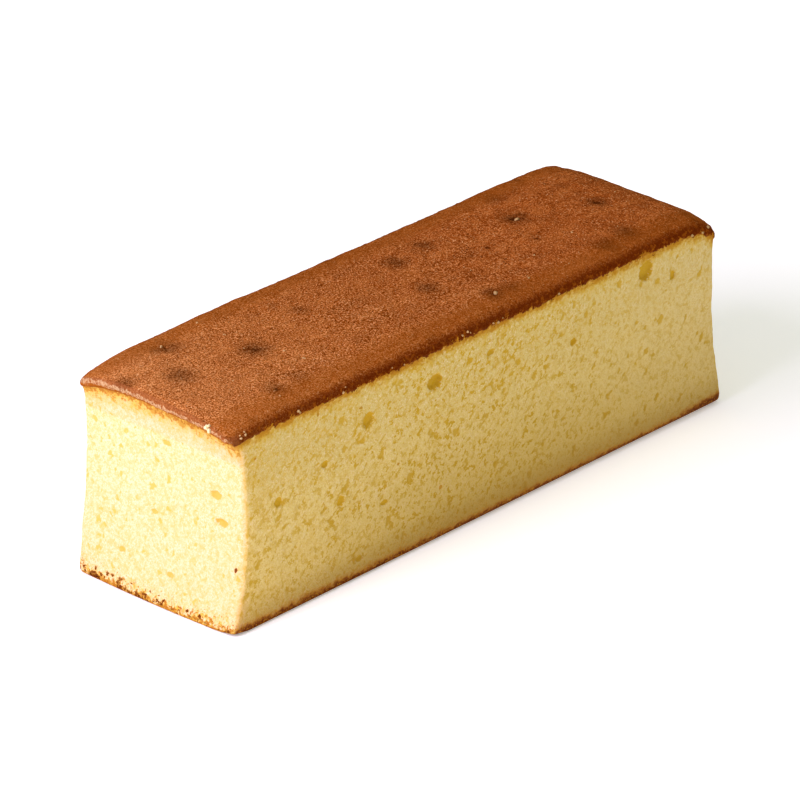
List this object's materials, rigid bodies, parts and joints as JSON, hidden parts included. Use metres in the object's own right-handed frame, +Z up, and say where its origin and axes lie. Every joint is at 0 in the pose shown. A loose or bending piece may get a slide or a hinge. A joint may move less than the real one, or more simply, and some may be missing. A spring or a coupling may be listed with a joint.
{
  "type": "castella sponge cake",
  "caption": "Long rectangular bar of plain castella sponge cake with a thin browned top and bottom and cut, slightly drawn-in sides.",
  "frame": {"origin": "centre of the bounding box in plan, on the surface that the cake rests on", "axes": "+X along the length, towards the end with the turned-down rim; +Y across the width, towards the long side that is at the back when the left end and the front are seen; +Z up"},
  "size_m": [0.2014, 0.0598, 0.0627],
  "materials": {
    "sponge": "matte"
  },
  "bodies": {
    "root": {"castella_cake": "sponge"}
  },
  "joints": []
}
